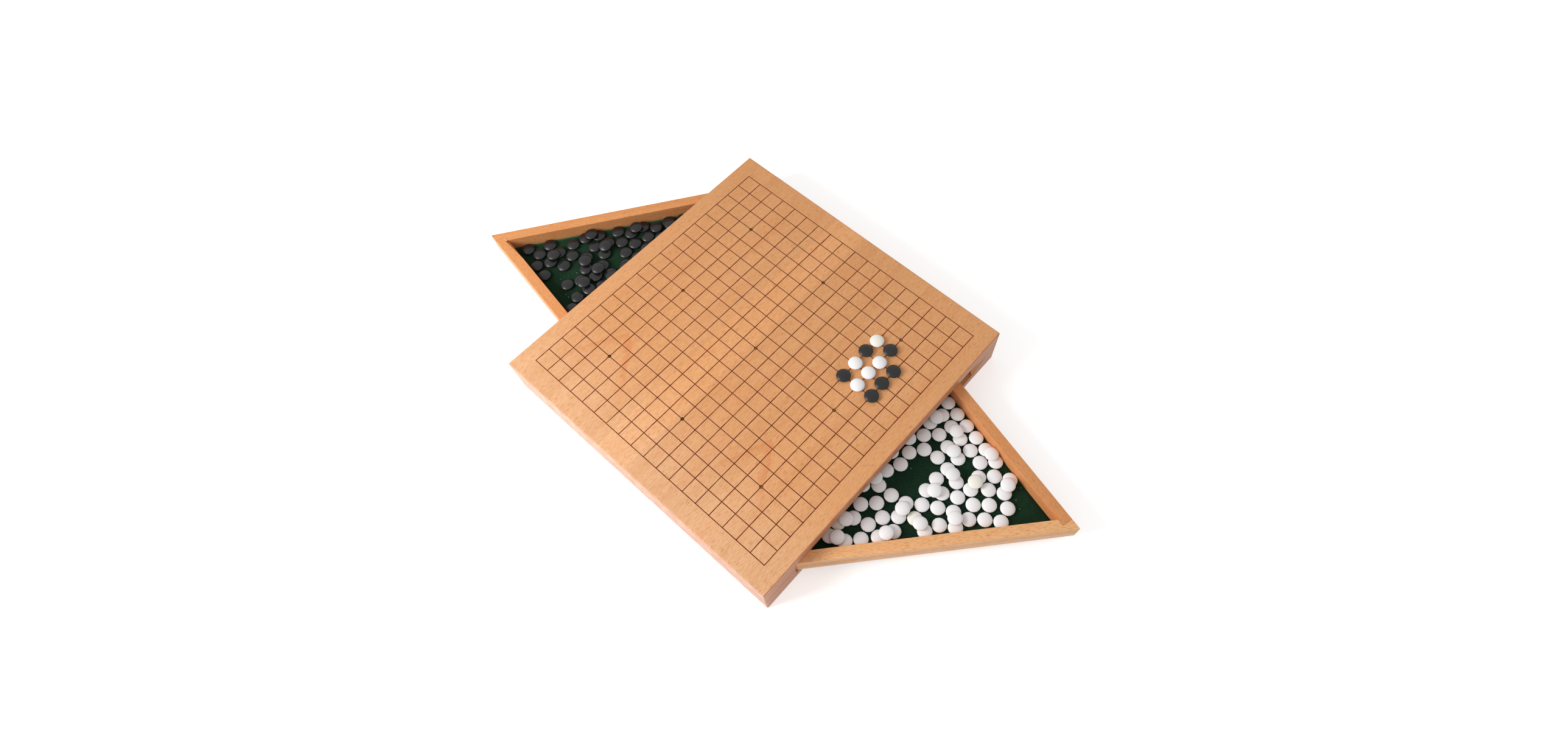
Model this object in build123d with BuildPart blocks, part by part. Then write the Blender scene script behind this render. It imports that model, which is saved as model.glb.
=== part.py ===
from build123d import *

import math
import os
import random

# A wooden go board, thick enough to hold two flat three-cornered drawers for the stones.
# The box is three layers of beech: a top board with the grid, a layer with the two drawer
# pockets, and a bottom board. Each drawer turns on an upright steel pin at one end of its
# front rail and swings out level through a slot in the side of the box. The second drawer
# is the first one turned half a turn about the middle of the board.
#
# Frame: origin at the centre of the underside, +Z up, the white stones' drawer opens
# through the -Y side and the black stones' drawer through the +Y side. Millimetres.

os.makedirs("parts", exist_ok=True)

# --- Box -------------------------------------------------------------------------------
board_side = 300.0
top_board_thickness = 13.5
pocket_height = 19.5
bottom_board_thickness = 10.5
outside_rounding = 1.0
underside_chamfer = 0.6

# --- Grid, engraved in the top -----------------------------------------------------------
grid_lines = 19
grid_pitch_x = 14.7
grid_pitch_y = 14.9
line_width = 0.5
line_depth = 0.2
star_point_width = 3.2
star_point_sides = 10
lines_between_star_points = 6

# --- Drawer slots in the two sides ---------------------------------------------------------
slot_start_margin = 34.2  # from the box's corner to the slot's pivot end
slot_end_margin = 33.0  # from the slot's other end to the next corner
slot_lip_thickness = 10.0  # wall left standing in front of the pocket, past the slot's end
divider_thickness = 5.0  # wall between the two pockets
divider_stub = 2.0  # how far each block reaches along the wall to meet the divider

# --- Finger scoop beside each slot ---------------------------------------------------------
scoop_length = 16.7
scoop_depth = 2.6

# --- Drawers -------------------------------------------------------------------------------
rail_thickness = 9.6
corner_angle = 63.4  # between the front rail and the end rail
housing_depth = 6.0  # how far the end rail is let into the front rail
stop_catch = 3.6  # how far the inner rail's tail passes behind the slot's end
floor_thickness = 4.8
felt_thickness = 1.0
relief_length = 26.0  # finger relief on the end rail's inner top edge
relief_width = 2.2
relief_depth = 2.4
white_open_angle = 41.8
black_open_angle = 35.2

# --- Pins and running gaps -----------------------------------------------------------------
pin_diameter = 4.0
pin_seat_depth = 6.0
pin_running_gap = 0.08  # radial, between the pin and the drawer
pin_seat_gap = 0.02  # radial, between the pin and the boards
swing_gap = 0.6  # beside a drawer
slot_end_gap = 1.2  # between a closed drawer's front corner and the slot's end
lift_gap = 0.25  # above and below a drawer

# --- Stones --------------------------------------------------------------------------------
stone_diameter = 12.75
stone_thickness = 4.2
stone_flat_width = 6.4  # across the small flat where a stone rests
stone_sides = 8
stone_gap = 0.15

# --- What follows from those sizes ---------------------------------------------------------
half_side = board_side / 2
pocket_floor = bottom_board_thickness
pocket_roof = pocket_floor + pocket_height
board_top = pocket_roof + top_board_thickness
half_rail = rail_thickness / 2
slot_start = -half_side + slot_start_margin
slot_end = half_side - slot_end_margin
pivot = Vector(slot_start + swing_gap + half_rail, -half_side + half_rail)

# The two inner rails lie side by side with the divider between them, so they run at a
# slightly smaller angle than the line from one pivot to the other.
rail_spacing = rail_thickness + 2 * swing_gap + divider_thickness
inner_rail_angle = math.degrees(
    math.atan2(-pivot.Y, -pivot.X) - math.asin(rail_spacing / (2 * pivot.length))
)

# Everything about a drawer is drawn from its pivot, with the front rail along +X.
front_reach = slot_end - slot_end_gap - pivot.X
tail_reach = slot_end + stop_catch - pivot.X
tail_radius = math.hypot(tail_reach, half_rail)
pocket_radius = tail_radius + swing_gap
drawer_bottom = pocket_floor + lift_gap
drawer_height = pocket_height - 2 * lift_gap
felt_top = drawer_bottom + floor_thickness + felt_thickness
pin_radius = pin_diameter / 2

# The tail meets the lip's back face at this angle, which ends the swing.
widest_open_angle = (
    inner_rail_angle
    - math.degrees(math.asin(half_rail / tail_radius))
    - math.degrees(math.asin((slot_lip_thickness - half_rail) / tail_radius))
)
print(f"inner rail angle {inner_rail_angle:.3f}, widest open angle {widest_open_angle:.3f}")


def toward(angle):
    """Unit vector at an angle in the plane of the board."""
    return Vector(math.cos(math.radians(angle)), math.sin(math.radians(angle)))


def crossing(point_a, dir_a, point_b, dir_b):
    """Where two straight lines of the plan cross."""
    across = dir_a.X * dir_b.Y - dir_a.Y * dir_b.X
    gap = point_b - point_a
    return point_a + dir_a * ((gap.X * dir_b.Y - gap.Y * dir_b.X) / across)


# Corners of a closed drawer, seen from above with its pivot at the origin.
along_front = Vector(1, 0)
along_end = toward(180 - corner_angle)  # from the front corner inward
end_inward = toward(270 - corner_angle)  # from the end rail's outer face into the drawer
along_inner = toward(inner_rail_angle)  # from the pivot to the tail
inner_outward = toward(inner_rail_angle + 90)  # to the divider's side

front_corner = Vector(front_reach, -half_rail)
front_inner = Vector(0, half_rail)
end_inner = front_corner + end_inward * rail_thickness
inner_inner = inner_outward * -half_rail
inner_outer = inner_outward * half_rail

room_at_front = crossing(front_inner, along_front, end_inner, along_end)
room_at_tail = crossing(end_inner, along_end, inner_inner, along_inner)
room_at_pivot = crossing(front_inner, along_front, inner_inner, along_inner)
housing_inner = room_at_front - along_end * housing_depth
housing_outer = housing_inner - end_inward * rail_thickness
end_rail_tip = crossing(front_corner, along_end, inner_inner, along_inner)
inner_rail_start = crossing(front_inner, along_front, inner_outer, along_inner)
tail_outer = inner_outer + along_inner * tail_reach
tail_inner = inner_inner + along_inner * tail_reach


def save(piece, label):
    """Name a finished piece and write it out."""
    piece.label = label
    export_step(piece, f"parts/{label}.step")


# --- Plan of the middle layer ----------------------------------------------------------------
# A pocket is the sweep of its drawer: a round sector about the pivot, cut off by the
# divider, with the front wall left standing except across the slot.
with BuildSketch() as pocket_plan:
    with Locations(pivot):
        Circle(pocket_radius)
    with Locations((0, -half_side + slot_lip_thickness)):
        Rectangle(
            3 * board_side, board_side, align=(Align.CENTER, Align.MAX), mode=Mode.SUBTRACT
        )
    with Locations((slot_start, -half_side)):
        Rectangle(slot_end - slot_start, slot_lip_thickness, align=(Align.MIN, Align.MIN))
    with Locations(inner_outward * (-divider_thickness / 2)):
        Rectangle(
            3 * board_side,
            2 * board_side,
            rotation=inner_rail_angle,
            align=(Align.CENTER, Align.MIN),
            mode=Mode.SUBTRACT,
        )

# The divider spans the gap between the two blocks, which each reach past their own pocket.
pivot_along_divider = -(pivot.X * along_inner.X + pivot.Y * along_inner.Y)
divider_half_length = (
    math.sqrt(pocket_radius**2 - (half_rail + swing_gap) ** 2)
    - pivot_along_divider
    - divider_stub
)

with BuildSketch() as block_plan:
    Rectangle(board_side, board_side)
    add(pocket_plan.sketch, mode=Mode.SUBTRACT)
    add(pocket_plan.sketch, rotation=180, mode=Mode.SUBTRACT)
    Rectangle(
        2 * divider_half_length,
        divider_thickness,
        rotation=inner_rail_angle,
        mode=Mode.SUBTRACT,
    )
left_block_face, right_block_face = block_plan.faces().sort_by(Axis.X)

# --- Finger scoop ----------------------------------------------------------------------------
# A round cutter, leaned so that it is deepest at the slot's end and runs out at the tip.
# There its cut is exactly as high as the slot.
scoop_lean = math.degrees(math.atan2(scoop_depth, scoop_length))
scoop_radius = (scoop_depth**2 + (pocket_height / 2) ** 2) / (2 * scoop_depth)
scoop_start = Vector(slot_end, -half_side + scoop_depth, pocket_floor + pocket_height / 2)
scoop_axis = toward(-scoop_lean)
scoop_centre = scoop_start + toward(-90) * scoop_radius
scoop_plane = Plane(origin=scoop_centre - scoop_axis * scoop_length, z_dir=scoop_axis)

with BuildPart() as scoop_cutter:
    with BuildSketch(scoop_plane):
        Circle(scoop_radius)
    extrude(amount=4 * scoop_length)
    split(bisect_by=Plane.YZ.offset(slot_end), keep=Keep.TOP)

# --- Blocks between the boards -----------------------------------------------------------------
with BuildPart() as right_block:
    with BuildSketch(Plane.XY.offset(pocket_floor)):
        add(right_block_face)
    extrude(amount=pocket_height)
    add(scoop_cutter.part, mode=Mode.SUBTRACT)
    outer_corners = right_block.edges().filter_by(Axis.Z).group_by(Axis.X)[-1]
    fillet(outer_corners, outside_rounding)

with BuildPart() as left_block:
    with BuildSketch(Plane.XY.offset(pocket_floor)):
        add(left_block_face)
    extrude(amount=pocket_height)
    add(scoop_cutter.part, rotation=(0, 0, 180), mode=Mode.SUBTRACT)
    outer_corners = left_block.edges().filter_by(Axis.Z).group_by(Axis.X)[0]
    fillet(outer_corners, outside_rounding)

with BuildPart() as centre_divider:
    with BuildSketch(Plane.XY.offset(pocket_floor)):
        Rectangle(2 * divider_half_length, divider_thickness, rotation=inner_rail_angle)
    extrude(amount=pocket_height)

save(right_block.part, "right_block")
save(left_block.part, "left_block")
save(centre_divider.part, "centre_divider")

# --- Bottom board ------------------------------------------------------------------------------
pin_places = [(pivot.X, pivot.Y), (-pivot.X, -pivot.Y)]

with BuildPart() as bottom_board:
    with BuildSketch():
        Rectangle(board_side, board_side)
    extrude(amount=bottom_board_thickness)
    with BuildSketch(Plane.XY.offset(bottom_board_thickness)):
        with Locations(*pin_places):
            Circle(pin_radius + pin_seat_gap)
    extrude(amount=-pin_seat_depth, mode=Mode.SUBTRACT)
    fillet(bottom_board.edges().filter_by(Axis.Z).filter_by(GeomType.LINE), outside_rounding)
    chamfer(bottom_board.faces().sort_by(Axis.Z)[0].edges(), underside_chamfer)
save(bottom_board.part, "bottom_board")

# --- Top board with its grid ---------------------------------------------------------------------
grid_width_x = (grid_lines - 1) * grid_pitch_x
grid_width_y = (grid_lines - 1) * grid_pitch_y
line_section = [(-line_width / 2, 0), (0, -line_depth), (line_width / 2, 0)]

with BuildPart() as top_board:
    with BuildSketch(Plane.XY.offset(pocket_roof)):
        Rectangle(board_side, board_side)
    extrude(amount=top_board_thickness)
    fillet(top_board.edges().filter_by(Axis.Z), outside_rounding)
    fillet(top_board.faces().sort_by(Axis.Z)[-1].edges(), outside_rounding)
    with BuildSketch(Plane.XY.offset(pocket_roof)):
        with Locations(*pin_places):
            Circle(pin_radius + pin_seat_gap)
    extrude(amount=pin_seat_depth, mode=Mode.SUBTRACT)
    # Each line is a shallow V, cut along the whole grid and a little past its last line.
    with BuildSketch(Plane.YZ) as lines_along_x:
        with Locations((0, board_top)):
            with GridLocations(grid_pitch_y, 0, grid_lines, 1):
                Polygon(*line_section, align=None)
    extrude(amount=(grid_width_x + line_width) / 2, both=True, mode=Mode.SUBTRACT)
    with BuildSketch(Plane.XZ) as lines_along_y:
        with Locations((0, board_top)):
            with GridLocations(grid_pitch_x, 0, grid_lines, 1):
                Polygon(*line_section, align=None)
    extrude(amount=(grid_width_y + line_width) / 2, both=True, mode=Mode.SUBTRACT)
    with BuildSketch(Plane.XY.offset(board_top)):
        star_step = lines_between_star_points
        with GridLocations(star_step * grid_pitch_x, star_step * grid_pitch_y, 3, 3):
            RegularPolygon(star_point_width / 2, star_point_sides)
    extrude(amount=-line_depth, mode=Mode.SUBTRACT)
save(top_board.part, "top_board")


# --- Loose stones in a drawer ----------------------------------------------------------------------
def spread_stones(count, bare_spots, seed):
    """Scatter stones over a drawer's floor.

    They start anywhere on the felt, and then neighbours that overlap push each other
    apart. The rails and the bare spots, each (x, y, radius), push them back in.
    """
    dice = random.Random(seed)
    reach = stone_diameter / 2 + stone_gap
    walls = [
        (room_at_pivot, Vector(0, 1)),
        (room_at_front, end_inward),
        (room_at_pivot, inner_outward * -1),
    ]
    spots = []
    while len(spots) < count:
        a, b = sorted((dice.random(), dice.random()))
        spot = room_at_pivot * a + room_at_front * (b - a) + room_at_tail * (1 - b)
        spots.append([spot.X, spot.Y])

    def settle(spot):
        for x, y, radius in bare_spots:
            dx, dy = spot[0] - x, spot[1] - y
            distance = math.hypot(dx, dy) or 1.0
            if distance < radius + reach:
                spot[0] += dx / distance * (radius + reach - distance) * 0.5
                spot[1] += dy / distance * (radius + reach - distance) * 0.5
        for corner, inward in walls:
            depth = (spot[0] - corner.X) * inward.X + (spot[1] - corner.Y) * inward.Y
            if depth < reach:
                spot[0] += inward.X * (reach - depth)
                spot[1] += inward.Y * (reach - depth)

    for _ in range(240):
        for i, one in enumerate(spots):
            for other in spots[:i]:
                dx, dy = one[0] - other[0], one[1] - other[1]
                if abs(dx) < 2 * reach and abs(dy) < 2 * reach:
                    distance = math.hypot(dx, dy) or 1.0
                    push = (2 * reach - distance) / distance / 2
                    if push > 0:
                        one[0] += dx * push
                        one[1] += dy * push
                        other[0] -= dx * push
                        other[1] -= dy * push
        for spot in spots:
            settle(spot)

    def clear_of_rails(spot):
        return all(
            (spot[0] - corner.X) * inward.X + (spot[1] - corner.Y) * inward.Y
            > stone_diameter / 2
            for corner, inward in walls
        )

    kept = []
    for spot in filter(clear_of_rails, spots):
        if all(math.dist(spot, other) > stone_diameter for other in kept):
            kept.append(spot)
    return kept


def upper_stones(lower, count, seed):
    """Pick places for stones that lie on top, each across two neighbours below."""
    dice = random.Random(seed)
    spots = []
    order = list(range(len(lower)))
    dice.shuffle(order)
    for index in order:
        x, y = lower[index]
        near = sorted(lower, key=lambda other: math.dist(other, (x, y)))[1]
        spot = ((x + near[0]) / 2, (y + near[1]) / 2)
        if len(spots) < count and math.dist(near, (x, y)) < 1.08 * stone_diameter:
            if all(math.dist(spot, other) > 1.1 * stone_diameter for other in spots):
                spots.append(spot)
    return spots


# A stone is a lens, thickest in the middle. Eight flat sides above and below keep a drawer
# full of them light.
stone_rings = [
    [
        toward(360 / stone_sides * side) * (width / 2) + Vector(0, 0, height)
        for side in range(stone_sides)
    ]
    for height, width in (
        (0, stone_flat_width),
        (stone_thickness / 2, stone_diameter),
        (stone_thickness, stone_flat_width),
    )
]
stone_outlines = [stone_rings[0], stone_rings[-1]]
for below, above in zip(stone_rings, stone_rings[1:]):
    for side in range(stone_sides):
        after = (side + 1) % stone_sides
        stone_outlines.append([below[side], below[after], above[after], above[side]])
stone = Solid(
    Shell([Face(Wire.make_polygon(outline, close=True)) for outline in stone_outlines])
)


def lay_stones(spots, height, seed):
    """Places for stones at one height, each turned its own way."""
    dice = random.Random(seed)
    return [Location((x, y, height), (0, 0, dice.uniform(0, 45))) for x, y in spots]


# --- Drawers -----------------------------------------------------------------------------------------
def make_drawer(colour, centre, turn, stone_count, top_count, bare_spots, seed):
    """Build one drawer about its pivot, turned to where its front rail points."""

    def level(height):
        return Plane(
            origin=(centre.X, centre.Y, height),
            x_dir=(toward(turn).X, toward(turn).Y, 0),
            z_dir=(0, 0, 1),
        )

    # Front rail: round about the pin at one end, square housing for the end rail at the other.
    with BuildPart() as front_rail:
        with BuildSketch(level(drawer_bottom)):
            with BuildLine():
                Polyline(
                    front_inner,
                    room_at_front,
                    housing_inner,
                    housing_outer,
                    front_corner,
                    (0, -half_rail),
                )
                RadiusArc((0, -half_rail), front_inner, half_rail)
            make_face()
            Circle(pin_radius + pin_running_gap, mode=Mode.SUBTRACT)
        extrude(amount=drawer_height)
    save(front_rail.part, f"{colour}_drawer_front_rail")

    with BuildPart() as end_rail:
        with BuildSketch(level(drawer_bottom)):
            with BuildLine():
                Polyline(
                    housing_inner, room_at_tail, end_rail_tip, housing_outer, close=True
                )
            make_face()
        extrude(amount=drawer_height)
        # The relief tapers from nothing to its full width at the front rail.
        relief_start = room_at_front + along_end * relief_length
        with BuildSketch(level(drawer_bottom + drawer_height)):
            with BuildLine():
                Polyline(
                    relief_start,
                    room_at_front,
                    room_at_front - end_inward * relief_width,
                    close=True,
                )
            make_face()
        extrude(amount=-relief_depth, mode=Mode.SUBTRACT)
    save(end_rail.part, f"{colour}_drawer_end_rail")

    # The inner rail runs past the end rail: its tail stops the drawer at the slot's end.
    with BuildPart() as inner_rail:
        with BuildSketch(level(drawer_bottom)):
            with BuildLine():
                Polyline(inner_rail_start, tail_outer, tail_inner, room_at_pivot, close=True)
            make_face()
        extrude(amount=drawer_height)
    save(inner_rail.part, f"{colour}_drawer_inner_rail")

    with BuildPart() as floor:
        with BuildSketch(level(drawer_bottom)):
            with BuildLine():
                Polyline(room_at_pivot, room_at_front, room_at_tail, close=True)
            make_face()
        extrude(amount=floor_thickness)
    save(floor.part, f"{colour}_drawer_floor")

    with BuildPart() as felt:
        with BuildSketch(level(drawer_bottom + floor_thickness)):
            with BuildLine():
                Polyline(room_at_pivot, room_at_front, room_at_tail, close=True)
            make_face()
        extrude(amount=felt_thickness)
    save(felt.part, f"{colour}_drawer_felt")

    lower = spread_stones(stone_count, bare_spots, seed)
    upper = upper_stones(lower, top_count, seed + 1)
    places = lay_stones(lower, 0, seed + 2)
    places += lay_stones(upper, stone_thickness + stone_gap, seed + 3)
    with BuildPart(level(felt_top)) as stones:
        with Locations(*places):
            add(stone)
    save(stones.part, f"{colour}_stones_in_drawer")
    print(f"{colour} drawer: {len(lower)} stones below, {len(upper)} on top")


white_bare_spots = [(93, 56, 8), (113, 66, 9), (146, 58, 5), (190, 10, 12), (26, 6, 5)]
black_bare_spots = [(117, 43, 6), (142, 22, 2)]
make_drawer(
    "white", pivot, -white_open_angle, 74, 17, white_bare_spots, seed=11
)
make_drawer(
    "black", pivot * -1, 180 - black_open_angle, 78, 20, black_bare_spots, seed=23
)

# --- Pivot pins --------------------------------------------------------------------------------------
for colour, centre in (("white", pivot), ("black", pivot * -1)):
    with BuildPart() as pivot_pin:
        with BuildSketch(Plane.XY.offset(pocket_floor - pin_seat_depth)):
            with Locations((centre.X, centre.Y)):
                Circle(pin_radius)
        extrude(amount=pocket_height + 2 * pin_seat_depth)
    save(pivot_pin.part, f"{colour}_pivot_pin")

# --- Stones in play ------------------------------------------------------------------------------------
# Counted in grid lines from the middle of the board.
white_in_play = [(5, -5), (3, -5), (4, -6), (3, -6), (2, -6)]
black_in_play = [(4, -5), (5, -6), (2, -5), (4, -7), (3, -7), (2, -7)]
for colour, played in (("white", white_in_play), ("black", black_in_play)):
    spots = [(column * grid_pitch_x, row * grid_pitch_y) for column, row in played]
    with BuildPart() as stones_in_play:
        with Locations(*lay_stones(spots, board_top, seed=5)):
            add(stone)
    save(stones_in_play.part, f"{colour}_stones_on_board")
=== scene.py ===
import math

import bmesh
import bpy
from mathutils import Matrix, Vector


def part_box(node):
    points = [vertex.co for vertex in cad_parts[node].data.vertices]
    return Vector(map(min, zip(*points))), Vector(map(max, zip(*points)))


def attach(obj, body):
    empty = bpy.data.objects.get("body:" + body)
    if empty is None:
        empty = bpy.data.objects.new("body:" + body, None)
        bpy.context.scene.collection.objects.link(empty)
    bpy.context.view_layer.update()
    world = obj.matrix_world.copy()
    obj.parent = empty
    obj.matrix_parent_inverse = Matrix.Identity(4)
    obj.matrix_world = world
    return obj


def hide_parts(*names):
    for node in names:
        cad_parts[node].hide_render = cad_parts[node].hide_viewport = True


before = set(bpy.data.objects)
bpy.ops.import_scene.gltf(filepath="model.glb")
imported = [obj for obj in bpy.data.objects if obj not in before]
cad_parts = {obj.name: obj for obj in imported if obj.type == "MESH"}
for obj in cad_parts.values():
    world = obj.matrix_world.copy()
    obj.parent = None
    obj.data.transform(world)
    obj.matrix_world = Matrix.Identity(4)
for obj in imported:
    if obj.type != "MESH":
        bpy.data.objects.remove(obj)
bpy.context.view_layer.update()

# --- View --------------------------------------------------------------------------------------
# A wide lens stands over the white stones' side of the board and looks steeply down.
camera_data = bpy.data.cameras.new("camera")
camera_data.sensor_width = 36
camera_data.lens = 19.065
camera_data.shift_x = -0.02713
camera_data.shift_y = 0.00178
camera_data.clip_start = 0.01
camera_data.clip_end = 30
camera = bpy.data.objects.new("camera", camera_data)
camera.matrix_world = Matrix(
    (
        (0.6591163, 0.6754270, -0.3307024, -0.21303),
        (-0.7519974, 0.5872012, -0.2994905, -0.27459),
        (-0.0080951, 0.4460864, 0.8949533, 0.67207),
        (0, 0, 0, 1),
    )
)
bpy.context.scene.collection.objects.link(camera)
bpy.context.scene.camera = camera
bpy.context.scene.view_settings.view_transform = "Standard"

# --- Studio ------------------------------------------------------------------------------------
# A pale floor under a bright, even room, and one broad soft lamp off the board's left edge.
floor_glow = 0.46
room_light = 0.54

studio_floor_mesh = bpy.data.meshes.new("studio_floor")
reach = 6.0
studio_floor_mesh.from_pydata(
    [(-reach, -reach, 0), (reach, -reach, 0), (reach, reach, 0), (-reach, reach, 0)],
    [],
    [(0, 1, 2, 3)],
)
studio_floor = bpy.data.objects.new("studio_floor", studio_floor_mesh)
bpy.context.scene.collection.objects.link(studio_floor)


def seen_directly(tree):
    """1 for rays that come from the camera, a mirror or glass, else 0."""
    path = tree.nodes.new("ShaderNodeLightPath")
    total = path.outputs["Is Camera Ray"]
    for ray in ("Is Glossy Ray", "Is Transmission Ray"):
        either = tree.nodes.new("ShaderNodeMath")
        either.operation = "MAXIMUM"
        tree.links.new(total, either.inputs[0])
        tree.links.new(path.outputs[ray], either.inputs[1])
        total = either.outputs[0]
    return total


floor_paint = bpy.data.materials.new("floor_paint")
floor_paint.use_nodes = True
tree = floor_paint.node_tree
tree.nodes.clear()
plain = tree.nodes.new("ShaderNodeBsdfDiffuse")
plain.inputs["Color"].default_value = (0.8, 0.8, 0.8, 1)
bright = tree.nodes.new("ShaderNodeBsdfDiffuse")
bright.inputs["Color"].default_value = (1, 1, 1, 1)
glow = tree.nodes.new("ShaderNodeEmission")
glow.inputs["Strength"].default_value = floor_glow
lifted = tree.nodes.new("ShaderNodeAddShader")
chosen = tree.nodes.new("ShaderNodeMixShader")
out = tree.nodes.new("ShaderNodeOutputMaterial")
tree.links.new(bright.outputs[0], lifted.inputs[0])
tree.links.new(glow.outputs[0], lifted.inputs[1])
tree.links.new(seen_directly(tree), chosen.inputs[0])
tree.links.new(plain.outputs[0], chosen.inputs[1])
tree.links.new(lifted.outputs[0], chosen.inputs[2])
tree.links.new(chosen.outputs[0], out.inputs["Surface"])
studio_floor_mesh.materials.append(floor_paint)

room = bpy.data.worlds.new("room")
bpy.context.scene.world = room
room.use_nodes = True
tree = room.node_tree
tree.nodes.clear()
ambient = tree.nodes.new("ShaderNodeBackground")
ambient.inputs["Strength"].default_value = room_light
white = tree.nodes.new("ShaderNodeBackground")
white.inputs["Color"].default_value = (1, 1, 1, 1)
ambient.inputs["Color"].default_value = (1, 1, 1, 1)
chosen = tree.nodes.new("ShaderNodeMixShader")
out = tree.nodes.new("ShaderNodeOutputWorld")
tree.links.new(seen_directly(tree), chosen.inputs[0])
tree.links.new(ambient.outputs[0], chosen.inputs[1])
tree.links.new(white.outputs[0], chosen.inputs[2])
tree.links.new(chosen.outputs[0], out.inputs["Surface"])


def soft_lamp(name, place, aim, size, power):
    """A square lamp at one place, turned towards another."""
    lamp = bpy.data.lights.new(name, "AREA")
    lamp.shape = "SQUARE"
    lamp.size = size
    lamp.energy = power
    stand = bpy.data.objects.new(name, lamp)
    stand.location = place
    stand.rotation_euler = (Vector(aim) - Vector(place)).to_track_quat("-Z", "Y").to_euler()
    bpy.context.scene.collection.objects.link(stand)


soft_lamp("left_lamp", (-0.70, 0.38, 0.56), aim=(0, 0, 0), size=0.45, power=7.8)

# --- Top, bottom and middle of the box ---------------------------------------------------------
# Beech boards glued in three layers, with a clear satin varnish. The grain runs along X. The
# sides show the edges and the end grain, which are pinker than the face.
#
# Each mark's size along and across the grain in millimetres, and the span of noise that shows.
ray_size, ray_span, ray_strength = (4.6, 0.36), (0.58, 0.66), 0.5
pore_size, pore_span, pore_strength = (8.0, 0.32), (0.50, 0.70), 0.35
cloud_size, cloud_span, cloud_strength = (60.0, 24.0), (0.52, 0.76), 0.5
band_size, band_span = (210.0, 8.0), (0.36, 0.66)
# How much of the wood's red, green and blue is left in a mark.
pore_shade = (0.84, 0.72, 0.62)
cloud_shade = (0.96, 0.82, 0.76)
band_shade = (0.94, 0.90, 0.86)
side_span = (0.1491, 0.1499)  # a face across X or Y starts here, from the middle of the box
varnish_shine = 0.12
rough_span = (-0.7, 2.2)  # of the bands' noise, so the roughness stays in the middle


def wire(tree, kind, settings=(), **inputs):
    """Add one shader node. Its inputs are numbers, colours or other nodes' outputs."""
    made = tree.nodes.new(kind)
    for key, value in dict(settings).items():
        setattr(made, key, value)
    for key, value in inputs.items():
        index = int(key[1:]) if key[0] == "i" and key[1:].isdigit() else key.replace("_", " ")
        socket = made.inputs[index]
        if isinstance(value, bpy.types.NodeSocket):
            tree.links.new(value, socket)
        else:
            socket.default_value = value
    return made


def maths(tree, operation, first, second=0.0, clamp=False):
    made = wire(
        tree, "ShaderNodeMath", {"operation": operation, "use_clamp": clamp}, i0=first, i1=second
    )
    return made.outputs[0]


def blended(tree, amount, first, second, way="MIX"):
    """Mix two colours, each a colour or an output."""
    made = tree.nodes.new("ShaderNodeMix")
    made.data_type = "RGBA"
    made.blend_type = way
    for index, value in ((0, amount), (6, first), (7, second)):
        if isinstance(value, bpy.types.NodeSocket):
            tree.links.new(value, made.inputs[index])
        elif index:
            made.inputs[index].default_value = (*value, 1)
        else:
            made.inputs[index].default_value = value
    return made.outputs[2]


def span(tree, value, low, high):
    """0 below low, 1 above high, smooth between."""
    made = wire(
        tree,
        "ShaderNodeMapRange",
        {"interpolation_type": "SMOOTHSTEP"},
        Value=value,
        From_Min=low,
        From_Max=high,
    )
    return made.outputs[0]


def beech(name, face, fleck, grain=0.0, offset=(0, 0, 0), edge=None, top=None):
    """Beech with its grain along one direction in plan, in degrees.

    face and fleck are colours, of the wood and its short dark rays. edge has two tints that
    multiply them, on the box's faces across X and across Y. top adds what only the playing
    face has: it is given the wood's colour and returns another.
    """
    material = bpy.data.materials.new(name)
    material.use_nodes = True
    tree = material.node_tree
    tree.nodes.clear()
    place = tree.nodes.new("ShaderNodeTexCoord").outputs["Object"]
    turned = wire(
        tree,
        "ShaderNodeMapping",
        {"vector_type": "TEXTURE"},
        Vector=place,
        Location=offset,
        Rotation=(0, 0, math.radians(grain)),
        Scale=(0.001, 0.001, 0.001),
    ).outputs[0]

    def noise(size, detail):
        along, across = size
        stretched = wire(
            tree, "ShaderNodeMapping", Vector=turned, Scale=(1 / along, 1 / across, 1 / across)
        ).outputs[0]
        made = wire(tree, "ShaderNodeTexNoise", Vector=stretched, Scale=1.0, Detail=detail)
        return made.outputs[0]

    def times(value, factor):
        return maths(tree, "MULTIPLY", value, factor)

    def shaded(shade):
        return [tone * left for tone, left in zip(face, shade)]

    rays = span(tree, noise(ray_size, 0.0), *ray_span)
    pores = span(tree, noise(pore_size, 0.0), *pore_span)
    bands = noise(band_size, 3.0)
    cloud = span(tree, noise(cloud_size, 2.0), *cloud_span)
    wood = blended(tree, span(tree, bands, *band_span), face, shaded(band_shade))
    wood = blended(tree, times(cloud, cloud_strength), wood, shaded(cloud_shade))
    if top:
        wood = top(tree, place, wood)
    wood = blended(tree, times(pores, pore_strength), wood, shaded(pore_shade))
    wood = blended(tree, times(rays, ray_strength), wood, fleck)
    if edge:
        parts = wire(tree, "ShaderNodeSeparateXYZ", Vector=place)
        for run, tint in zip(parts.outputs, edge):
            side = span(tree, maths(tree, "ABSOLUTE", run), *side_span)
            wood = blended(tree, side, wood, blended(tree, 1.0, wood, tint, "MULTIPLY"))
    bump = wire(
        tree,
        "ShaderNodeBump",
        {"invert": True},
        Strength=0.3,
        Distance=0.00005,
        Height=maths(tree, "ADD", rays, pores),
    )
    skin = wire(
        tree,
        "ShaderNodeBsdfPrincipled",
        Base_Color=wood,
        Roughness=span(tree, bands, *rough_span),
        Normal=bump.outputs[0],
    )
    skin.inputs["Specular IOR Level"].default_value = varnish_shine
    wire(tree, "ShaderNodeOutputMaterial", Surface=skin.outputs[0])
    return material


def dress(node, material):
    """Give one CAD node its material."""
    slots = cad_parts[node].material_slots
    for slot in slots:
        slot.material = material


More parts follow.
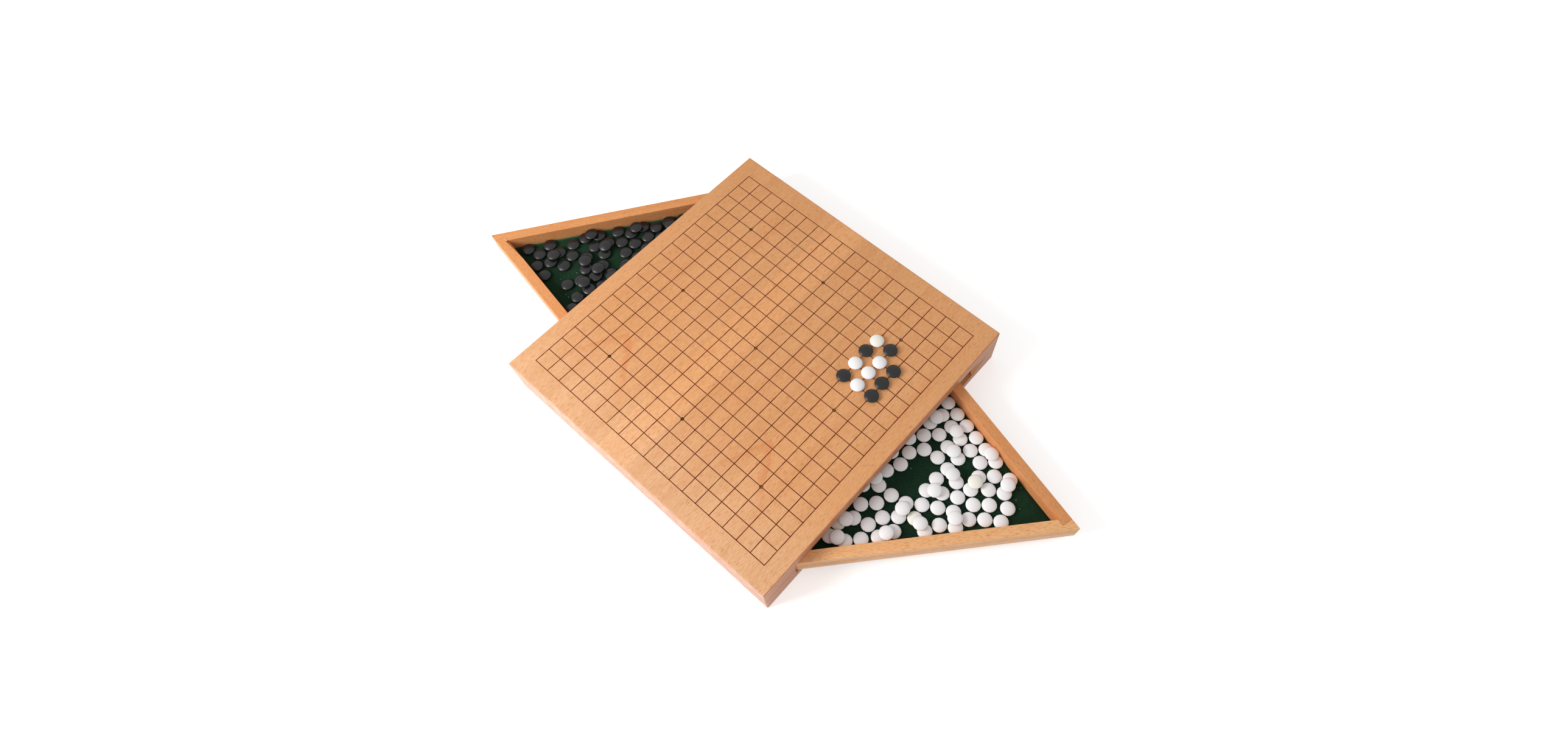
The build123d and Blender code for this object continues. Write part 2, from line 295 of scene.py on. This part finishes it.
face_tan = (0.81, 0.405, 0.180)
fleck_tan = (0.50, 0.185, 0.062)
# The end grain, on the two faces across X, and then the long edges.
edge_pink = ((0.68, 0.375, 0.250), (0.70, 0.320, 0.175))
edge_tints = [[pink / tan for pink, tan in zip(colour, face_tan)] for colour in edge_pink]
# Each layer's shift of the grain in metres, and its tone.
for layer, shift, tone in (
    ("bottom_board", 0.31, 0.99),
    ("left_block", 0.12, 0.93),
    ("right_block", 0.52, 0.95),
    ("centre_divider", 0.77, 0.96),
):
    wood = [tone * part for part in face_tan]
    dress(
        layer,
        beech(f"beech_{layer}", wood, fleck_tan, offset=(shift, 0.04, 0), edge=edge_tints),
    )

# --- Playing face ------------------------------------------------------------------------------
# The top board is glued up from staves that differ slightly in tone, and two of them show
# pointed reddish growth figures. The grid lines are cut shallow and stained dark brown.
board_width = 0.3
board_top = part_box("top_board")[1].z
face_depth = 0.0002  # what lies higher than this under the top counts as the playing face
# Where each stave starts across the board, from 0 to 1, and its tone.
stave_tones = ((0.0, 1.0), (0.27, 0.96), (0.513, 1.06), (0.62, 0.96), (0.81, 0.935))
ramp_room = 0.9  # keeps the ramp's colours under 1, and is divided out again after it
painted_light_tint = (1.04, 1.21, 1.50)  # painted light: the left lamp's light and sheen, painted paler into the face at its -X end
painted_light_span = (-0.16, -0.05)

grid_pitch = (0.0147, 0.0149)
lines_each_way = 9
line_brown = (0.100, 0.006, 0.001)
line_half = 0.00042
line_fade_in, line_fade_out = 0.00006, 0.00004
groove_shallow, groove_deep = 0.00012, 0.0004
lines_between_stars = 6
star_black = (0.012, 0.008, 0.006)
star_radius = 0.0016
star_fade = 0.0001

# Each figure's tip, and how fast its limb beyond the tip and its limb before it fall back in X.
growth_figures = (
    ((-0.0598, 0.0935), 1.87, 1.15),
    ((-0.0547, -0.0678), 2.60, 1.35),
)
tip_roundness = 0.0015
figure_red = (0.72, 0.250, 0.095)
figure_strength = 0.55
figure_front = (-0.0004, 0.0010)  # sharp in front, over these depths behind its outline
figure_back = (0.0025, 0.0150)  # and thinning out over these
figure_fade = (0.020, 0.060)  # along its limbs
wander_scale, wander_reach = 45.0, 0.022


def playing_face(tree, place, wood):
    """The staves' tones, the growth figures, the stained grid lines and the star points."""

    def op(operation, first, second=0.0):
        return maths(tree, operation, first, second)

    def off_nearest(run, gap):
        """How far a coordinate lies from the nearest whole number of gaps."""
        count = op("DIVIDE", run, gap)
        return op("MULTIPLY", op("SUBTRACT", count, op("ROUND", count)), gap)

    x, y, z = wire(tree, "ShaderNodeSeparateXYZ", Vector=place).outputs
    across = op("ADD", op("DIVIDE", y, board_width), 0.5)
    ramp = tree.nodes.new("ShaderNodeValToRGB")
    ramp.color_ramp.interpolation = "CONSTANT"
    stops = ramp.color_ramp.elements
    stops.remove(stops[1])
    for index, (start, tone) in enumerate(stave_tones):
        stop = stops[0] if index == 0 else stops.new(start)
        stop.color = (tone * ramp_room, tone * ramp_room, tone * ramp_room, 1)
    tree.links.new(across, ramp.inputs[0])
    lit = blended(tree, 1.0, wood, ramp.outputs[0], "MULTIPLY")
    wood = blended(tree, 1.0, lit, (1 / ramp_room, 1 / ramp_room, 1 / ramp_room), "MULTIPLY")
    # Painted light: the playing face is painted paler towards its -X end, where the left lamp
    # lights it and its sheen shows.
    painted_light_share = op("SUBTRACT", 1.0, span(tree, x, *painted_light_span))
    painted_light_share = op("MULTIPLY", painted_light_share, op("GREATER_THAN", z, board_top - face_depth))
    wood = blended(tree, painted_light_share, wood, painted_light_tint, "MULTIPLY")

    wander = wire(tree, "ShaderNodeTexNoise", Vector=place, Scale=wander_scale, Detail=2.0)
    wander = op("MULTIPLY", op("SUBTRACT", wander.outputs[0], 0.5), wander_reach)
    for (tip_x, tip_y), beyond, before in growth_figures:
        aside = op("SUBTRACT", y, tip_y)
        limb = op("MULTIPLY", op("GREATER_THAN", aside, 0.0), beyond - before)
        bend = op("ADD", op("MULTIPLY", aside, aside), tip_roundness**2)
        bend = op("SUBTRACT", op("SQRT", bend), tip_roundness)
        bend = op("MULTIPLY", bend, op("ADD", limb, before))
        depth = op("ADD", op("SUBTRACT", tip_x, x), wander)
        depth = op("SUBTRACT", depth, bend)
        behind = op("SUBTRACT", 1.0, span(tree, depth, *figure_back))
        inside = op("MULTIPLY", span(tree, depth, *figure_front), behind)
        along = op("SUBTRACT", 1.0, span(tree, bend, *figure_fade))
        amount = op("MULTIPLY", op("MULTIPLY", inside, along), figure_strength)
        wood = blended(tree, amount, wood, figure_red)

    axes = tuple(zip((x, y), grid_pitch))
    ink = op("LESS_THAN", z, board_top - groove_shallow)
    for run, pitch in axes:
        off = op("ABSOLUTE", off_nearest(run, pitch))
        bare = span(tree, off, line_half - line_fade_in, line_half + line_fade_out)
        ink = op("MAXIMUM", ink, op("SUBTRACT", 1.0, bare))
    ink = op("MULTIPLY", ink, op("GREATER_THAN", z, board_top - groove_deep))
    for run, pitch in axes:
        outermost = lines_each_way * pitch + line_half
        ink = op("MULTIPLY", ink, op("LESS_THAN", op("ABSOLUTE", run), outermost))
    wood = blended(tree, ink, wood, line_brown)

    squares = []
    for run, pitch in axes:
        off = off_nearest(run, lines_between_stars * pitch)
        squares.append(op("MULTIPLY", off, off))
    radius = op("SQRT", op("ADD", *squares))
    bare = span(tree, radius, star_radius - star_fade, star_radius + star_fade)
    return blended(tree, op("SUBTRACT", 1.0, bare), wood, star_black)


dress(
    "top_board",
    beech("beech_top_board", face_tan, fleck_tan, edge=edge_tints, top=playing_face),
)

# --- Drawer rails ------------------------------------------------------------------------------
# Three beech rails round each drawer, with the end rail let into the front rail and glued.
# Their sharp edges are eased, apart from those round the bore for the pin.
# Painted light and shade: the white drawer's front rail is painted brighter for the lamp's light
# on it, and the black drawer's darker for the shade on its inner face.
front_rail_painted_light_and_shade = {"white": (0.95, 0.515, 0.24), "black": (0.78, 0.350, 0.135)}
end_rail_tan = (0.79, 0.350, 0.140)
rail_tan = (0.74, 0.375, 0.155)
rail_fleck = (0.46, 0.180, 0.062)
arris = 0.0004
bore_reach = 0.003  # edges nearer to the pin's axis than this aren't eased
sharp_from = math.radians(30)
flat_within = math.radians(1)


def eased_copy(node, width, axis):
    """A copy of a CAD node with its sharp edges eased, except near an upright axis."""
    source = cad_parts[node]
    shape = bmesh.new()
    shape.from_mesh(source.data)
    bmesh.ops.remove_doubles(shape, verts=shape.verts, dist=1e-6)
    bmesh.ops.dissolve_limit(
        shape, angle_limit=flat_within, verts=shape.verts, edges=shape.edges
    )
    sharp = []
    for edge in shape.edges:
        middle = (edge.verts[0].co + edge.verts[1].co) / 2
        near_axis = math.dist(middle[:2], axis) < bore_reach
        if not near_axis and edge.calc_face_angle(0) > sharp_from:
            sharp.append(edge)
    bmesh.ops.bevel(
        shape,
        geom=sharp,
        offset=width,
        segments=2,
        profile=0.5,
        affect="EDGES",
        clamp_overlap=True,
    )
    bmesh.ops.triangulate(shape, faces=[f for f in shape.faces if len(f.verts) > 4])
    mesh = bpy.data.meshes.new(node + "_eased")
    shape.to_mesh(mesh)
    shape.free()
    piece = bpy.data.objects.new(node + "_eased", mesh)
    bpy.context.scene.collection.objects.link(piece)
    return piece


# Which way each front rail runs in plan, in degrees, and the other rails' turn from it.
swings = {"white": -41.8, "black": 180 - 35.2}
end_turn, inner_turn = 180 - 63.4, 50.27
for colour, swing in swings.items():
    low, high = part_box(f"{colour}_pivot_pin")
    pin_axis = ((low.x + high.x) / 2, (low.y + high.y) / 2)
    for rail, turn, wood in (
        ("front_rail", 0.0, front_rail_painted_light_and_shade[colour]),
        ("end_rail", end_turn, end_rail_tan),
        ("inner_rail", inner_turn, rail_tan),
    ):
        node = f"{colour}_drawer_{rail}"
        piece = eased_copy(node, arris, pin_axis)
        piece.data.materials.append(
            beech(
                f"beech_{node}",
                wood,
                rail_fleck,
                grain=swing + turn,
                offset=(0.2 * turn / 100, 0.07, 0.01),
            )
        )
        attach(piece, f"{colour}_drawer")
        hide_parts(node)

# --- Drawer floors -----------------------------------------------------------------------------
# A thin plywood panel closes the underside of each drawer. It is seen only from below.
for colour, swing in swings.items():
    dress(
        f"{colour}_drawer_floor",
        beech(f"beech_{colour}_floor", rail_tan, rail_fleck, grain=swing, offset=(0.5, 0.3, 0)),
    )

# --- Felt linings ------------------------------------------------------------------------------
# Dark green flocked felt, cut to the drawer's three-cornered room and laid on its floor.
# It lies nearly flat, with a few specks of dust in the pile.
felt_green = (0.005, 0.019, 0.009)
felt_tip = (0.014, 0.047, 0.023)
felt_dust = (0.25, 0.32, 0.25)
felt_rows = 44
felt_backing = 0.0006
felt_hollow = 0.00012  # half of the depth from the felt's crests to its hollows
felt_edge_drop = 0.0003


def felt_material():
    material = bpy.data.materials.new("green_felt")
    material.use_nodes = True
    tree = material.node_tree
    tree.nodes.clear()
    place = tree.nodes.new("ShaderNodeTexCoord").outputs["Object"]
    pile = wire(tree, "ShaderNodeTexNoise", Vector=place, Scale=1600.0, Detail=2.0).outputs[0]
    matted = wire(tree, "ShaderNodeTexNoise", Vector=place, Scale=70.0, Detail=3.0).outputs[0]
    dust = wire(tree, "ShaderNodeTexVoronoi", Vector=place, Scale=260.0)
    speck = maths(tree, "LESS_THAN", dust.outputs["Distance"], 0.13)
    rare = wire(tree, "ShaderNodeSeparateColor", Color=dust.outputs["Color"]).outputs[0]
    speck = maths(tree, "MULTIPLY", speck, maths(tree, "GREATER_THAN", rare, 0.86))
    colour = blended(tree, span(tree, pile, 0.35, 0.75), felt_green, felt_tip)
    colour = blended(
        tree,
        maths(tree, "MULTIPLY", span(tree, matted, 0.45, 0.7), 0.4),
        colour,
        felt_green,
    )
    colour = blended(tree, maths(tree, "MULTIPLY", speck, 0.6), colour, felt_dust)
    bump = wire(tree, "ShaderNodeBump", Strength=0.6, Distance=0.0002, Height=pile)
    skin = wire(
        tree,
        "ShaderNodeBsdfPrincipled",
        Base_Color=colour,
        Roughness=0.95,
        Normal=bump.outputs[0],
    )
    skin.inputs["Sheen Weight"].default_value = 0.25
    skin.inputs["Sheen Roughness"].default_value = 0.5
    skin.inputs["Sheen Tint"].default_value = (0.3, 0.7, 0.4, 1)
    skin.inputs["Specular IOR Level"].default_value = 0.1
    wire(tree, "ShaderNodeOutputMaterial", Surface=skin.outputs[0])
    return material


def corners_of(node):
    """The three corners of a three-cornered CAD slab in plan, and the height of its top."""
    points = {(round(v.co.x, 6), round(v.co.y, 6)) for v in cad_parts[node].data.vertices}
    return [Vector((x, y, 0)) for x, y in sorted(points)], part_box(node)[1].z


felt = felt_material()
for colour in ("white", "black"):
    node = f"{colour}_drawer_felt"
    (a, b, c), over = corners_of(node)
    if (b - a).cross(c - a).z < 0:
        b, c = c, b
    cloth = bmesh.new()
    rows = []
    for i in range(felt_rows + 1):
        row = []
        for j in range(i + 1):
            spot = a + (b - a) * ((i - j) / felt_rows) + (c - a) * (j / felt_rows)
            dip = felt_hollow * (
                1 + math.sin(spot.x * 190 + spot.y * 70) * math.sin(spot.y * 160 - spot.x * 40)
            )
            on_edge = j == 0 or j == i or i == felt_rows
            drop = felt_edge_drop if on_edge else dip
            row.append(cloth.verts.new((spot.x, spot.y, over - drop)))
        rows.append(row)
    for i in range(felt_rows):
        for j in range(i + 1):
            cloth.faces.new((rows[i][j], rows[i + 1][j], rows[i + 1][j + 1]))
            if j < i:
                cloth.faces.new((rows[i][j], rows[i + 1][j + 1], rows[i][j + 1]))
    for face in cloth.faces:
        face.smooth = True
    mesh = bpy.data.meshes.new(f"{colour}_felt")
    cloth.to_mesh(mesh)
    cloth.free()
    piece = bpy.data.objects.new(f"{colour}_felt", mesh)
    bpy.context.scene.collection.objects.link(piece)
    backing = piece.modifiers.new("backing", "SOLIDIFY")
    backing.thickness = felt_backing
    backing.offset = -1
    mesh.materials.append(felt)
    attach(piece, f"{colour}_drawer")
    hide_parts(node)

# --- Stones ------------------------------------------------------------------------------------
# Lens-shaped satin stones. 90 white and 98 black ones lie loose in the drawers, some across
# two others, and five white and six black ones stand on the board.
stone_diameter = 0.0127
stone_thickness = 0.0042
stone_fullness = 0.8
stone_sides = 16
stone_rings = 6
ring_draw = 0.55
drift_seed, tone_seed = 7.0, 3.0  # added to a group's seed for its other random draws
drawer_lean = 0.09
lower_lean = 0.15  # the share of that lean of the stones that lie on the felt
lower_height = 0.001
board_slide = 0.0007


def stone_places(node):
    """The middle of each separate stone in a CAD node."""
    shape = bmesh.new()
    shape.from_mesh(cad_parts[node].data)
    bmesh.ops.remove_doubles(shape, verts=shape.verts, dist=1e-6)
    seen, places = set(), []
    for start in shape.verts:
        if start in seen:
            continue
        seen.add(start)
        group = [start]
        for vert in group:
            for edge in vert.link_edges:
                other = edge.other_vert(vert)
                if other not in seen:
                    seen.add(other)
                    group.append(other)
        places.append(sum((v.co for v in group), Vector()) / len(group))
    shape.free()
    return places


def stone_tree():
    """Nodes that put one lens-shaped stone on each point."""
    tree = bpy.data.node_groups.new("stones", "GeometryNodeTree")
    face = tree.interface
    face.new_socket("Places", in_out="INPUT", socket_type="NodeSocketGeometry")
    for name, value in (
        ("Diameter", stone_diameter),
        ("Thickness", stone_thickness),
        ("Fullness", stone_fullness),
        ("Slide", 0.0),
    ):
        socket = face.new_socket(name, in_out="INPUT", socket_type="NodeSocketFloat")
        socket.default_value = value
    face.new_socket("Seed", in_out="INPUT", socket_type="NodeSocketInt").default_value = 1
    face.new_socket("Finish", in_out="INPUT", socket_type="NodeSocketMaterial")
    face.new_socket("Stones", in_out="OUTPUT", socket_type="NodeSocketGeometry")
    given = tree.nodes.new("NodeGroupInput").outputs

    def add(kind, settings=(), **inputs):
        return wire(tree, kind, settings, **inputs)

    ball = add("GeometryNodeMeshUVSphere", Segments=stone_sides, Rings=stone_rings, Radius=1.0)
    here = tree.nodes.new("GeometryNodeInputPosition").outputs[0]
    parts = add("ShaderNodeSeparateXYZ", Vector=here).outputs
    half_wide = maths(tree, "MULTIPLY", given["Diameter"], 0.5)
    half_thick = maths(tree, "MULTIPLY", given["Thickness"], 0.5)
    # The rings are drawn out towards the rim, so that the face stays a shallow dome up to it.
    flat = add("ShaderNodeCombineXYZ", X=parts[0], Y=parts[1])
    reach = add("ShaderNodeVectorMath", {"operation": "LENGTH"}, Vector=flat.outputs[0])
    reach = maths(tree, "MAXIMUM", reach.outputs["Value"], 1e-4)
    ring = maths(tree, "POWER", reach, ring_draw)
    inward = maths(tree, "SUBTRACT", 1.0, maths(tree, "MULTIPLY", ring, ring), clamp=True)
    rise = maths(tree, "POWER", inward, given["Fullness"])
    rise = maths(tree, "MULTIPLY", rise, maths(tree, "SIGN", parts[2]))
    outward = maths(tree, "MULTIPLY", maths(tree, "DIVIDE", ring, reach), half_wide)
    lens = add(
        "ShaderNodeCombineXYZ",
        X=maths(tree, "MULTIPLY", parts[0], outward),
        Y=maths(tree, "MULTIPLY", parts[1], outward),
        Z=maths(tree, "MULTIPLY", rise, half_thick),
    )
    stone = add(
        "GeometryNodeSetPosition", Geometry=ball.outputs["Mesh"], Position=lens.outputs[0]
    )
    smooth = add("GeometryNodeSetShadeSmooth", Geometry=stone.outputs[0])
    lean = add("GeometryNodeInputNamedAttribute", {"data_type": "FLOAT"}, Name="lean").outputs[0]
    turn = tree.nodes.new("FunctionNodeRandomValue")
    turn.data_type = "FLOAT_VECTOR"
    turn.inputs[0].default_value = (-1, -1, 0)
    turn.inputs[1].default_value = (1, 1, math.tau)
    tree.links.new(given["Seed"], turn.inputs["Seed"])
    twist = add("ShaderNodeSeparateXYZ", Vector=turn.outputs[0]).outputs
    angles = add(
        "ShaderNodeCombineXYZ",
        X=maths(tree, "MULTIPLY", twist[0], lean),
        Y=maths(tree, "MULTIPLY", twist[1], lean),
        Z=twist[2],
    )
    drift = tree.nodes.new("FunctionNodeRandomValue")
    drift.data_type = "FLOAT_VECTOR"
    drift.inputs[0].default_value = (-1, -1, 0)
    drift.inputs[1].default_value = (1, 1, 0)
    tree.links.new(maths(tree, "ADD", given["Seed"], drift_seed), drift.inputs["Seed"])
    slid = add(
        "ShaderNodeVectorMath",
        {"operation": "SCALE"},
        Vector=drift.outputs[0],
        Scale=given["Slide"],
    )
    moved = add("GeometryNodeSetPosition", Geometry=given["Places"], Offset=slid.outputs[0])
    laid = add(
        "GeometryNodeInstanceOnPoints",
        Points=moved.outputs[0],
        Instance=smooth.outputs[0],
        Rotation=angles.outputs[0],
    )
    tone = tree.nodes.new("FunctionNodeRandomValue")
    tone.data_type = "FLOAT"
    tree.links.new(maths(tree, "ADD", given["Seed"], tone_seed), tone.inputs["Seed"])
    toned = add(
        "GeometryNodeStoreNamedAttribute",
        {"data_type": "FLOAT", "domain": "INSTANCE"},
        Geometry=laid.outputs[0],
        Name="tone",
        Value=tone.outputs[1],
    )
    real = add("GeometryNodeRealizeInstances", Geometry=toned.outputs[0])
    done = add("GeometryNodeSetMaterial", Geometry=real.outputs[0], Material=given["Finish"])
    result = tree.nodes.new("NodeGroupOutput")
    tree.links.new(done.outputs[0], result.inputs[0])
    return tree


def stone_finish(name, body, other, share, rough, shine):
    """Satin stone: one body colour, and another for a share of the stones."""
    material = bpy.data.materials.new(name)
    material.use_nodes = True
    tree = material.node_tree
    tree.nodes.clear()
    place = tree.nodes.new("ShaderNodeTexCoord").outputs["Object"]
    tone = wire(tree, "ShaderNodeAttribute", {"attribute_name": "tone"}).outputs["Fac"]
    cast = blended(tree, maths(tree, "GREATER_THAN", tone, 1 - share), body, other)
    cast = blended(tree, maths(tree, "MULTIPLY", tone, 0.5), cast, [c * 0.93 for c in body])
    haze = wire(tree, "ShaderNodeTexNoise", Vector=place, Scale=900.0, Detail=2.0).outputs[0]
    bump = wire(tree, "ShaderNodeBump", Strength=0.06, Distance=0.0001, Height=haze)
    skin = wire(
        tree,
        "ShaderNodeBsdfPrincipled",
        Base_Color=cast,
        Roughness=maths(tree, "ADD", maths(tree, "MULTIPLY", haze, 0.1), rough - 0.05),
        Normal=bump.outputs[0],
    )
    skin.inputs["Specular IOR Level"].default_value = shine
    wire(tree, "ShaderNodeOutputMaterial", Surface=skin.outputs[0])
    return material


stones = stone_tree()
finishes = {
    "white": stone_finish(
        "white_satin", (0.97, 0.95, 0.955), (0.96, 0.92, 0.74), 0.03, 0.40, 0.5
    ),
    "black": stone_finish(
        "black_satin", (0.012, 0.011, 0.012), (0.016, 0.015, 0.016), 0.2, 0.33, 0.4
    ),
}
for colour, where, body, lean, slide, seed in (
    ("white", "in_drawer", "white_drawer", drawer_lean, 0.0, 4),
    ("black", "in_drawer", "black_drawer", drawer_lean, 0.0, 9),
    ("white", "on_board", "box", 0.0, board_slide, 2),
    ("black", "on_board", "box", 0.0, board_slide, 6),
):
    node = f"{colour}_stones_{where}"
    places = stone_places(node)
    ground = min(place.z for place in places) + lower_height
    mesh = bpy.data.meshes.new(node + "_smooth")
    mesh.from_pydata(places, [], [])
    leans = mesh.attributes.new("lean", "FLOAT", "POINT")
    leans.data.foreach_set(
        "value", [lean if place.z > ground else lower_lean * lean for place in places]
    )
    heap = bpy.data.objects.new(node + "_smooth", mesh)
    bpy.context.scene.collection.objects.link(heap)
    laying = heap.modifiers.new("stones", "NODES")
    laying.node_group = stones
    sockets = {item.name: item.identifier for item in stones.interface.items_tree}
    laying[sockets["Diameter"]] = stone_diameter
    laying[sockets["Thickness"]] = stone_thickness
    laying[sockets["Slide"]] = slide
    laying[sockets["Seed"]] = seed
    laying[sockets["Finish"]] = finishes[colour]
    solid = bpy.data.meshes.new_from_object(
        heap.evaluated_get(bpy.context.evaluated_depsgraph_get())
    )
    heap.modifiers.clear()
    heap.data = solid
    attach(heap, body)
    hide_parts(node)

# --- Pivot pins --------------------------------------------------------------------------------
# A plain steel pin through each front rail, its two ends held in the top and bottom boards.
steel = bpy.data.materials.new("ground_steel")
steel.use_nodes = True
tree = steel.node_tree
tree.nodes.clear()
place = tree.nodes.new("ShaderNodeTexCoord").outputs["Object"]
stretch = wire(tree, "ShaderNodeMapping", Vector=place, Scale=(900, 900, 6000)).outputs[0]
scratch = wire(tree, "ShaderNodeTexNoise", Vector=stretch, Scale=1.0, Detail=2.0).outputs[0]
skin = wire(
    tree,
    "ShaderNodeBsdfPrincipled",
    Base_Color=blended(tree, scratch, (0.52, 0.52, 0.53), (0.66, 0.66, 0.66)),
    Roughness=span(tree, scratch, -0.6, 2.6),
)
skin.inputs["Metallic"].default_value = 1.0
wire(tree, "ShaderNodeOutputMaterial", Surface=skin.outputs[0])
for colour in ("white", "black"):
    dress(f"{colour}_pivot_pin", steel)
